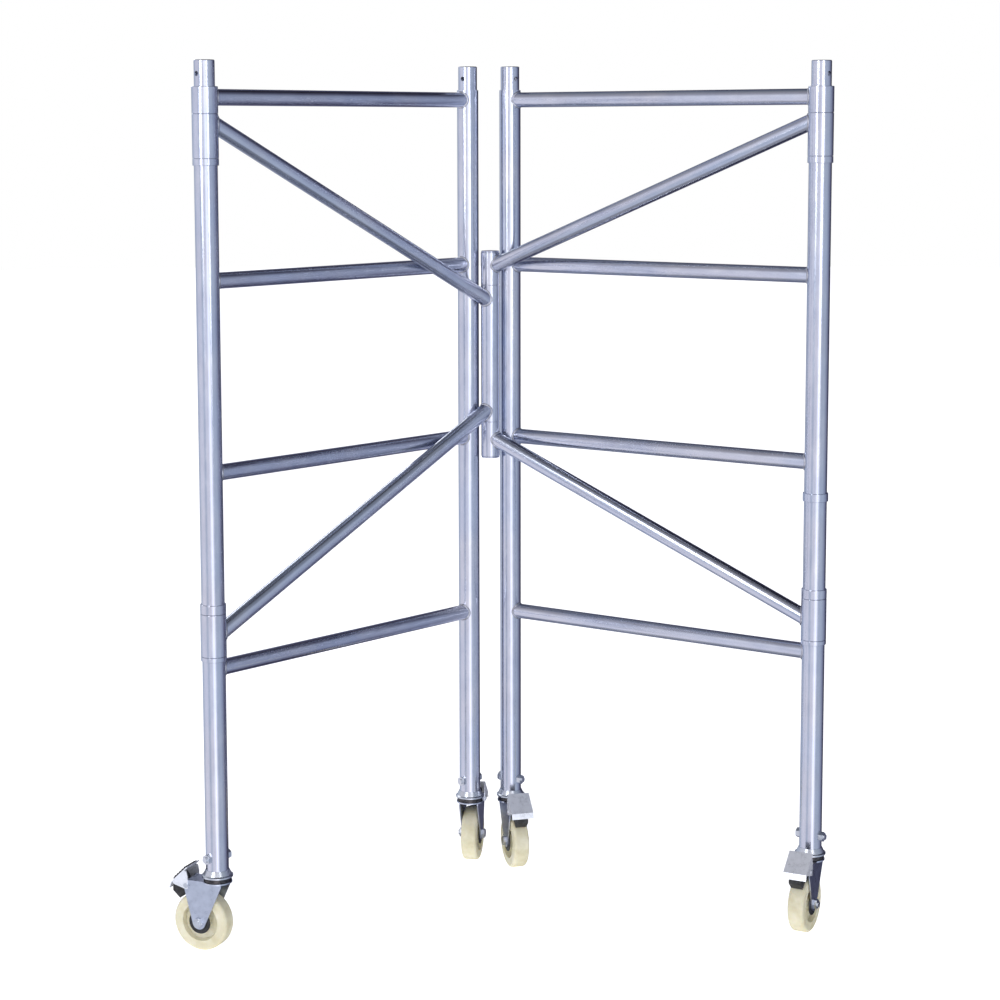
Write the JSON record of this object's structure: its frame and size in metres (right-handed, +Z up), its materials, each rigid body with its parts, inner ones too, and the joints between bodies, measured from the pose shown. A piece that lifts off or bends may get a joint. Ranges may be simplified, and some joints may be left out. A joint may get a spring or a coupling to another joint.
{
  "type": "frame scaffold section",
  "caption": "Folding mobile scaffold section: ladder frames joined by a hinged gate of slanting braces, on braked swivel castors with nylon wheels.",
  "frame": {"origin": "on the floor, under the centre of the object's box as it stands half folded", "axes": "+Z up along the posts; +X from the left ladder to the right one; +Y from the open side to the middle hinge"},
  "size_m": [1.4022, 0.7152, 1.858],
  "materials": {
    "galvanised_steel": "bright galvanised tube with a faint lengthwise grain",
    "zinc_plate": "pressed steel with blue-white zinc plating",
    "race_steel": "dark greased bearing steel",
    "nylon": "ivory cast nylon, satin",
    "black_plastic": "moulded black plastic",
    "rubber": "ribbed black rubber"
  },
  "bodies": {
    "left_frame": {"left_front_post": "galvanised_steel", "left_rear_post": "galvanised_steel", "left_spigots": "galvanised_steel", "left_collar_stops": "galvanised_steel", "left_stem_bolts": "zinc_plate", "left_ball_races": "race_steel", "left_rung_1": "galvanised_steel", "left_rung_2": "galvanised_steel", "left_rung_3": "galvanised_steel", "left_rung_4": "galvanised_steel", "front_left_stem": "zinc_plate", "rear_left_stem": "zinc_plate"},
    "left_gate": {"left_upper_collar": "galvanised_steel", "left_lower_collar": "galvanised_steel", "left_upper_brace": "galvanised_steel", "left_lower_brace": "galvanised_steel", "middle_knuckle": "galvanised_steel"},
    "middle_pin": {"hinge_pin": "galvanised_steel"},
    "right_gate": {"right_upper_collar": "galvanised_steel", "right_lower_collar": "galvanised_steel", "right_upper_brace": "galvanised_steel", "right_lower_brace": "galvanised_steel", "top_knuckle": "galvanised_steel", "bottom_knuckle": "galvanised_steel"},
    "right_frame": {"right_front_post": "galvanised_steel", "right_rear_post": "galvanised_steel", "right_spigots": "galvanised_steel", "right_collar_stops": "galvanised_steel", "right_stem_bolts": "zinc_plate", "right_ball_races": "race_steel", "right_rung_1": "galvanised_steel", "right_rung_2": "galvanised_steel", "right_rung_3": "galvanised_steel", "right_rung_4": "galvanised_steel", "front_right_stem": "zinc_plate", "rear_right_stem": "zinc_plate"},
    "front_left_swivel": {"front_left_fork": "zinc_plate", "front_left_axle_set": "zinc_plate"},
    "front_left_roller": {"front_left_wheel": "nylon", "front_left_thread_guards": "black_plastic"},
    "front_left_brake": {"front_left_pedal": "zinc_plate", "front_left_brake_shoe": "rubber"},
    "rear_left_swivel": {"rear_left_fork": "zinc_plate", "rear_left_axle_set": "zinc_plate"},
    "rear_left_roller": {"rear_left_wheel": "nylon", "rear_left_thread_guards": "black_plastic"},
    "rear_left_brake": {"rear_left_pedal": "zinc_plate", "rear_left_brake_shoe": "rubber"},
    "rear_right_swivel": {"rear_right_fork": "zinc_plate", "rear_right_axle_set": "zinc_plate"},
    "rear_right_roller": {"rear_right_wheel": "nylon", "rear_right_thread_guards": "black_plastic"},
    "rear_right_brake": {"rear_right_pedal": "zinc_plate", "rear_right_brake_shoe": "rubber"},
    "front_right_swivel": {"front_right_fork": "zinc_plate", "front_right_axle_set": "zinc_plate"},
    "front_right_roller": {"front_right_wheel": "nylon", "front_right_thread_guards": "black_plastic"},
    "front_right_brake": {"front_right_pedal": "zinc_plate", "front_right_brake_shoe": "rubber"}
  },
  "joints": [
    {"name": "left_ladder_fold", "type": "hinge", "parent": "left_frame", "child": "left_gate", "pos_m": [-0.59639, -0.32462, 1.205], "axis": [0, 0, -1], "range_deg": [0, 86.7]},
    {"name": "gate_close", "type": "hinge", "parent": "left_gate", "child": "middle_pin", "pos_m": [-0.02124, 0.23861, 1.205], "axis": [0, 0, 1], "range_deg": [-92.5, 0]},
    {"name": "gate_straighten", "type": "hinge", "parent": "middle_pin", "child": "right_gate", "pos_m": [-0.02124, 0.23861, 1.205], "axis": [0, 0, 1], "range_deg": [0, 75.5]},
    {"name": "right_ladder_fold", "type": "hinge", "parent": "right_gate", "child": "right_frame", "pos_m": [0.66805, -0.1772, 1.205], "axis": [0, 0, -1], "range_deg": [0, 86.7]},
    {"name": "front_left_swivel", "type": "hinge", "parent": "left_frame", "child": "front_left_swivel", "pos_m": [-0.59639, -0.32462, 0.161], "axis": [0, 0, 1], "continuous": true},
    {"name": "front_left_roll", "type": "hinge", "parent": "front_left_swivel", "child": "front_left_roller", "pos_m": [-0.62792, -0.31189, 0.0625], "axis": [-0.3746, -0.9272, 0], "continuous": true},
    {"name": "front_left_pedal", "type": "hinge", "parent": "front_left_swivel", "child": "front_left_brake", "pos_m": [-0.65388, -0.3014, 0.141], "axis": [-0.3746, -0.9272, 0], "range_deg": [0, 5.5]},
    {"name": "rear_left_swivel", "type": "hinge", "parent": "left_frame", "child": "rear_left_swivel", "pos_m": [-0.07144, 0.25229, 0.161], "axis": [0, 0, 1], "range_deg": [-28, 215]},
    {"name": "rear_left_roll", "type": "hinge", "parent": "rear_left_swivel", "child": "rear_left_roller", "pos_m": [-0.06554, 0.28577, 0.0625], "axis": [-0.9848, 0.1736, 0], "continuous": true},
    {"name": "rear_left_pedal", "type": "hinge", "parent": "rear_left_swivel", "child": "rear_left_brake", "pos_m": [-0.06068, 0.31335, 0.141], "axis": [-0.9848, 0.1736, 0], "range_deg": [0, 5.5]},
    {"name": "rear_right_swivel", "type": "hinge", "parent": "right_frame", "child": "rear_right_swivel", "pos_m": [0.02446, 0.26347, 0.161], "axis": [0, 0, -1], "range_deg": [-164, 54]},
    {"name": "rear_right_roll", "type": "hinge", "parent": "rear_right_swivel", "child": "rear_right_roller", "pos_m": [0.03383, 0.23079, 0.0625], "axis": [0.9613, 0.2756, 0], "continuous": true},
    {"name": "rear_right_pedal", "type": "hinge", "parent": "rear_right_swivel", "child": "rear_right_brake", "pos_m": [0.04155, 0.20387, 0.141], "axis": [0.9613, 0.2756, 0], "range_deg": [0, 5.5]},
    {"name": "front_right_swivel", "type": "hinge", "parent": "right_frame", "child": "front_right_swivel", "pos_m": [0.66805, -0.1772, 0.161], "axis": [0, 0, 1], "continuous": true},
    {"name": "front_right_roll", "type": "hinge", "parent": "front_right_swivel", "child": "front_right_roller", "pos_m": [0.65262, -0.2075, 0.0625], "axis": [0.891, -0.454, 0], "continuous": true},
    {"name": "front_right_pedal", "type": "hinge", "parent": "front_right_swivel", "child": "front_right_brake", "pos_m": [0.6399, -0.23245, 0.141], "axis": [0.891, -0.454, 0], "range_deg": [0, 5.5]}
  ],
  "couplings": [
    {"joint": "gate_straighten", "follows": "left_ladder_fold", "ratio": 0.8708}
  ]
}
